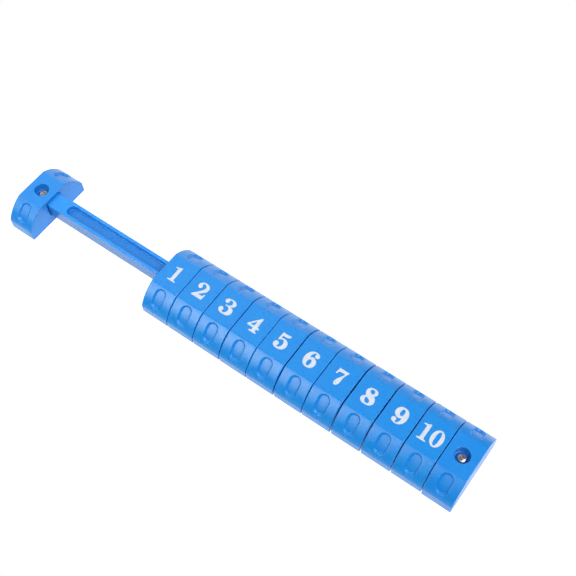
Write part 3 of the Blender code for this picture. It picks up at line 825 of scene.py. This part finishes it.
ZINC_STEEL = zinc_steel("zinc_plated_steel")
TILE_BLUE = moulded_plastic("tile_blue", (0.008, 0.239, 0.695), (0.006, 0.219, 0.660), 0.28)
BRACKET_BLUE = moulded_plastic("bracket_blue", (0.007, 0.230, 0.695), (0.005, 0.210, 0.660), 0.30, 0.3)
# the rod's last argument paints shade and light: its colour is darkened at and below the channel floor
# and brightened near the top
ROD_BLUE = moulded_plastic("rod_blue", (0.009, 0.244, 0.745), (0.007, 0.224, 0.710), 0.26, 0.6,
                           (ROD_TOP - CHANNEL_D, ROD_TOP - 0.4, 0.80, 1.06))
NUMERAL_WHITE = stamped_white("numeral_white")


# ------------------------------------------------------------ place the pieces
def piece(name, mesh, location, body, mat, slot, *nodes, weighted=True):
    obj = bpy.data.objects.new(name, mesh)
    bpy.context.scene.collection.objects.link(obj)
    obj.location = Vector(location) * MM
    if not mesh.materials:
        mesh.materials.append(mat)
    if weighted:
        mod = obj.modifiers.new("weighted_normals", "WEIGHTED_NORMAL")
        mod.keep_sharp = True
        mod.weight = 50
    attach(obj, body)
    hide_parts(*nodes)
    return obj


piece("rod_visual", rod_mesh, (0, 0, 0), "root", ROD_BLUE, "rod_blue", "rod")
piece("bracket_end_visual", bracket_mesh, (INNER + half_b, 0, 0), "root", BRACKET_BLUE,
      "bracket_blue", "bracket_end")
piece("bracket_start_visual", bracket_start_mesh, (-INNER - half_b, 0, 0), "root", BRACKET_BLUE,
      "bracket_blue", "bracket_start")

for end in ("end", "start"):
    low, high = mm_box("screw_" + end)
    piece("screw_%s_visual" % end, screw_mesh, ((low.x + high.x) / 2, 0, low.z + SCREW_LENGTH),
          "root", ZINC_STEEL, "screw_steel", "screw_" + end)

for k in range(1, 11):
    low, high = mm_box("tile_%d" % k)
    x = (low.x + high.x) / 2
    body = "slider_%d" % k
    piece("tile_%d_visual" % k, tile_mesh, (x, 0, 0), body, TILE_BLUE, "tile_blue", "tile_%d" % k)
    z = HEIGHT + 0.045
    if k < 10:
        piece("numeral_%d_visual" % k, numeral_mesh("figure_%d" % k, str(k)), (x, 0, z), body,
              NUMERAL_WHITE, "numeral_white", "numeral_%d" % k, weighted=False)
    else:
        piece("numeral_10_one_visual", numeral_mesh("figure_10_one", "1", -35.5), (x, 0, z), body,
              NUMERAL_WHITE, "numeral_white", "numeral_10_one", weighted=False)
        piece("numeral_10_zero_visual", numeral_mesh("figure_10_zero", "0", 31.5), (x, 0, z), body,
              NUMERAL_WHITE, "numeral_white", "numeral_10_zero", weighted=False)

# ------------------------------------------------------------ floor, light and camera
floor_mesh = bpy.data.meshes.new("floor")
bm = bmesh.new()
bmesh.ops.create_grid(bm, x_segments=1, y_segments=1, size=1.0)
bmesh.ops.scale(bm, vec=(0.21, 0.071, 1.0), verts=bm.verts[:])
bmesh.ops.translate(bm, vec=(0, 0.029, 0), verts=bm.verts[:])
bm.to_mesh(floor_mesh)
bm.free()
floor = bpy.data.objects.new("floor", floor_mesh)
bpy.context.scene.collection.objects.link(floor)
floor_mat, floor_tree, floor_bsdf = new_material("floor_white")
floor_bsdf.inputs["Base Color"].default_value = (0.12, 0.12, 0.12, 1)
floor_bsdf.inputs["Roughness"].default_value = 0.9
floor_bsdf.inputs["Emission Color"].default_value = (1, 1, 1, 1)
fcoord = node(floor_tree, "ShaderNodeTexCoord")
fsep = node(floor_tree, "ShaderNodeSeparateXYZ")
fmap = node(floor_tree, "ShaderNodeMapRange")
fmap.inputs["From Min"].default_value = -0.11
fmap.inputs["From Max"].default_value = 0.11
fmap.inputs["To Min"].default_value = 1.08
fmap.inputs["To Max"].default_value = 1.12
floor_tree.links.new(fcoord.outputs["Object"], fsep.inputs["Vector"])
floor_tree.links.new(fsep.outputs["X"], fmap.inputs["Value"])
floor_tree.links.new(fmap.outputs["Result"], floor_bsdf.inputs["Emission Strength"])
floor_mesh.materials.append(floor_mat)

# a dim room with a pale wall behind and to the left, plain white to the eye
world = bpy.data.worlds.new("studio")
bpy.context.scene.world = world
world.use_nodes = True
wt = world.node_tree
background = wt.nodes["Background"]
wcoord = node(wt, "ShaderNodeTexCoord")
wsep = node(wt, "ShaderNodeSeparateXYZ")
wt.links.new(wcoord.outputs["Generated"], wsep.inputs["Vector"])


def ramp_of(axis, low, high, at_low, at_high):
    n = node(wt, "ShaderNodeMapRange")
    n.interpolation_type = "SMOOTHSTEP"
    n.inputs["From Min"].default_value = low
    n.inputs["From Max"].default_value = high
    n.inputs["To Min"].default_value = at_low
    n.inputs["To Max"].default_value = at_high
    wt.links.new(wsep.outputs[axis], n.inputs["Value"])
    return n.outputs["Result"]


def maths(operation, a, b):
    n = node(wt, "ShaderNodeMath", operation=operation)
    for slot, value in enumerate((a, b)):
        if isinstance(value, float):
            n.inputs[slot].default_value = value
        else:
            wt.links.new(value, n.inputs[slot])
    return n.outputs["Value"]


wall = maths("MULTIPLY", ramp_of("X", -0.39, -0.06, 1.0, 0.0), ramp_of("Y", 0.0, 0.25, 0.0, 1.0))
wall = maths("MULTIPLY", wall, ramp_of("Z", 0.15, 0.85, 1.35, 0.85))
level = maths("ADD", wall, 0.06)
wsplit = node(wt, "ShaderNodeLightPath")
wshow = node(wt, "ShaderNodeMix", data_type="RGBA")
wt.links.new(wsplit.outputs["Is Camera Ray"], wshow.inputs["Factor"])
wt.links.new(level, wshow.inputs[6])
wshow.inputs[7].default_value = (1, 1, 1, 1)
wt.links.new(wshow.outputs[2], background.inputs["Color"])
background.inputs["Strength"].default_value = 1.0


def softbox(name, azimuth, elevation, distance, size, radiance, colour=(1, 1, 1)):
    """Area light aimed at the origin; azimuth 0 is the front (-Y), + towards +X."""
    a, e = radians(azimuth), radians(elevation)
    place = Vector((sin(a) * cos(e), -cos(a) * cos(e), sin(e))) * distance
    data = bpy.data.lights.new(name, "AREA")
    data.shape = "RECTANGLE"
    data.color = colour
    data.size, data.size_y = size
    data.energy = radiance * pi * size[0] * size[1]
    obj = bpy.data.objects.new(name, data)
    bpy.context.scene.collection.objects.link(obj)
    obj.location = place
    obj.rotation_euler = (-place).to_track_quat("-Z", "Y").to_euler()
    obj.visible_camera = False
    return obj


for i, (size, radiance) in enumerate((((0.22, 0.34), 2.1), ((0.42, 0.60), 2.0), ((0.64, 0.86), 1.9))):
    softbox("front_softbox_%d" % i, -27.5, 39, 0.94 + 0.01 * i, size, radiance,
            (1.0, 0.96, 0.84))
softbox("left_softbox", -78, 30, 0.6, (0.28, 0.28), 2.6)
softbox("overhead_softbox", 88, 54, 4.0, (2.9, 2.9), 6.5)

PITCH = 14.25
seam = 104.025
cam_data = bpy.data.cameras.new("camera")
camera = bpy.data.objects.new("camera", cam_data)
bpy.context.scene.collection.objects.link(camera)
az, el, roll = radians(39.24), radians(59.26), radians(-3.76)
back = Vector((sin(az) * cos(el), -cos(az) * cos(el), sin(el)))
target = Vector((seam - 6.836 * PITCH, 2.003 * PITCH, 0))
eye = target + back * 30.685 * PITCH
right = Vector((cos(az), sin(az), 0))
up = back.cross(right)
cam_right = right * cos(roll) + up * sin(roll)
cam_up = -right * sin(roll) + up * cos(roll)
rotation = Matrix((cam_right, cam_up, back)).transposed()
camera.matrix_world = Matrix.Translation(eye * MM) @ rotation.to_4x4()
cam_data.sensor_fit = "HORIZONTAL"
cam_data.sensor_width = 36.0
cam_data.lens = 990.7 / 576 * 36.0
cam_data.shift_y = 0.0007
cam_data.clip_start = 0.01
cam_data.clip_end = 20.0
bpy.context.scene.camera = camera
bpy.context.scene.view_settings.view_transform = "Standard"

bpy.data.collections.remove(tools)
bpy.context.view_layer.update()
